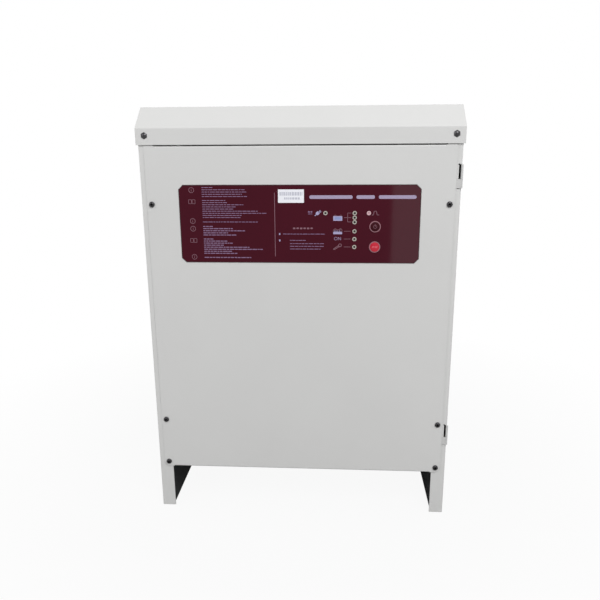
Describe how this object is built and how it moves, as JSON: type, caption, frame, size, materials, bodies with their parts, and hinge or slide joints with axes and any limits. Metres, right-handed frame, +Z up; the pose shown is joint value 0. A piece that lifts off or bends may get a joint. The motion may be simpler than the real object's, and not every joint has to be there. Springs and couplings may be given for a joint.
{
  "type": "forklift battery charger",
  "caption": "Floor-standing forklift battery charger: off-white folded-sheet cabinet with bevelled lid, screwed front panel, maroon control overlay, keys and foot runners.",
  "frame": {"origin": "centre of the bounding box on the floor", "axes": "+Z up, -Y towards the operator's side with the control overlay, +X to the right seen from the front"},
  "size_m": [0.5856, 0.459, 0.8],
  "materials": {
    "powder_coat": "off-white powder coat with a fine grain",
    "black_paint": "black enamel on steel",
    "dark_steel": "black-oxide screws",
    "zinc_steel": "bright zinc plate",
    "overlay": "maroon printed film",
    "sticker": "plain white label stock",
    "ring": "pale moulded ring",
    "lamp_dark": "unlit lamp",
    "lamp_pink": "milky lamp",
    "key_dark": "dark key",
    "key_red": "red key",
    "black_plastic": "moulded plastic",
    "board": "fibreglass board",
    "brass": "turned brass",
    "copper": "bare copper bar",
    "winding": "varnished tape over copper",
    "core": "stacked steel laminations",
    "aluminium": "extruded alloy",
    "grey_plastic": "moulded grey plastic",
    "cream_plastic": "moulded cream plastic",
    "ceramic": "fuse body",
    "rubber": "soft black rubber"
  },
  "bodies": {
    "cabinet": {"left_side_panel": "powder_coat", "right_side_panel": "powder_coat", "base_plate": "powder_coat", "left_foot_runner": "black_paint", "right_foot_runner": "black_paint", "base_bolts": "zinc_steel", "top_rails": "powder_coat", "front_panel": "powder_coat", "hinge_frame_leaves": "powder_coat", "hinge_panel_leaves": "powder_coat", "hinge_pins": "zinc_steel", "rear_panel": "powder_coat", "lid": "powder_coat", "overlay_film": "overlay", "white_sticker": "sticker", "lamp_rings": "ring", "status_lamps": "lamp_dark", "timer_lamp": "lamp_pink", "mode_key_ring": "ring", "stop_key_ring": "key_red", "key_switches": "black_plastic", "display_board": "board", "board_standoffs": "brass", "board_screws": "zinc_steel", "front_screws": "dark_steel", "lid_screws": "dark_steel", "rear_screws": "dark_steel", "clinch_nuts": "zinc_steel", "gland_plate": "powder_coat", "gland_gasket": "rubber", "gland_plate_screws": "dark_steel", "gland_bodies": "black_plastic", "gland_seals": "rubber", "gland_caps": "black_plastic", "gland_locknuts": "black_plastic", "fan_frame": "black_plastic", "fan_guard": "zinc_steel", "fan_screws": "zinc_steel", "mounting_plate": "zinc_steel", "heat_sink": "aluminium", "rectifier_modules": "grey_plastic", "positive_busbar": "copper", "negative_busbar": "copper", "output_terminals": "black_plastic", "transformer_core": "core", "transformer_coils": "winding", "core_clamps": "black_paint", "core_bolts": "zinc_steel", "contactor": "grey_plastic", "mains_terminals": "cream_plastic", "control_board": "board", "control_standoffs": "brass", "control_parts": "black_plastic", "output_fuse": "ceramic"},
    "mode_key": {"mode_key": "key_dark"},
    "stop_key": {"stop_key": "key_red"},
    "fan_rotor": {"fan_rotor": "black_plastic"}
  },
  "joints": [
    {"name": "mode_key_press", "type": "slide", "parent": "cabinet", "child": "mode_key", "axis": [0, 1, 0], "range_m": [0, 0.001], "stiffness_N_per_m": 1500},
    {"name": "stop_key_press", "type": "slide", "parent": "cabinet", "child": "stop_key", "axis": [0, 1, 0], "range_m": [0, 0.001], "stiffness_N_per_m": 1500},
    {"name": "fan_spin", "type": "hinge", "parent": "cabinet", "child": "fan_rotor", "pos_m": [0, 0.17747, 0.6], "axis": [0, 1, 0], "continuous": true}
  ]
}
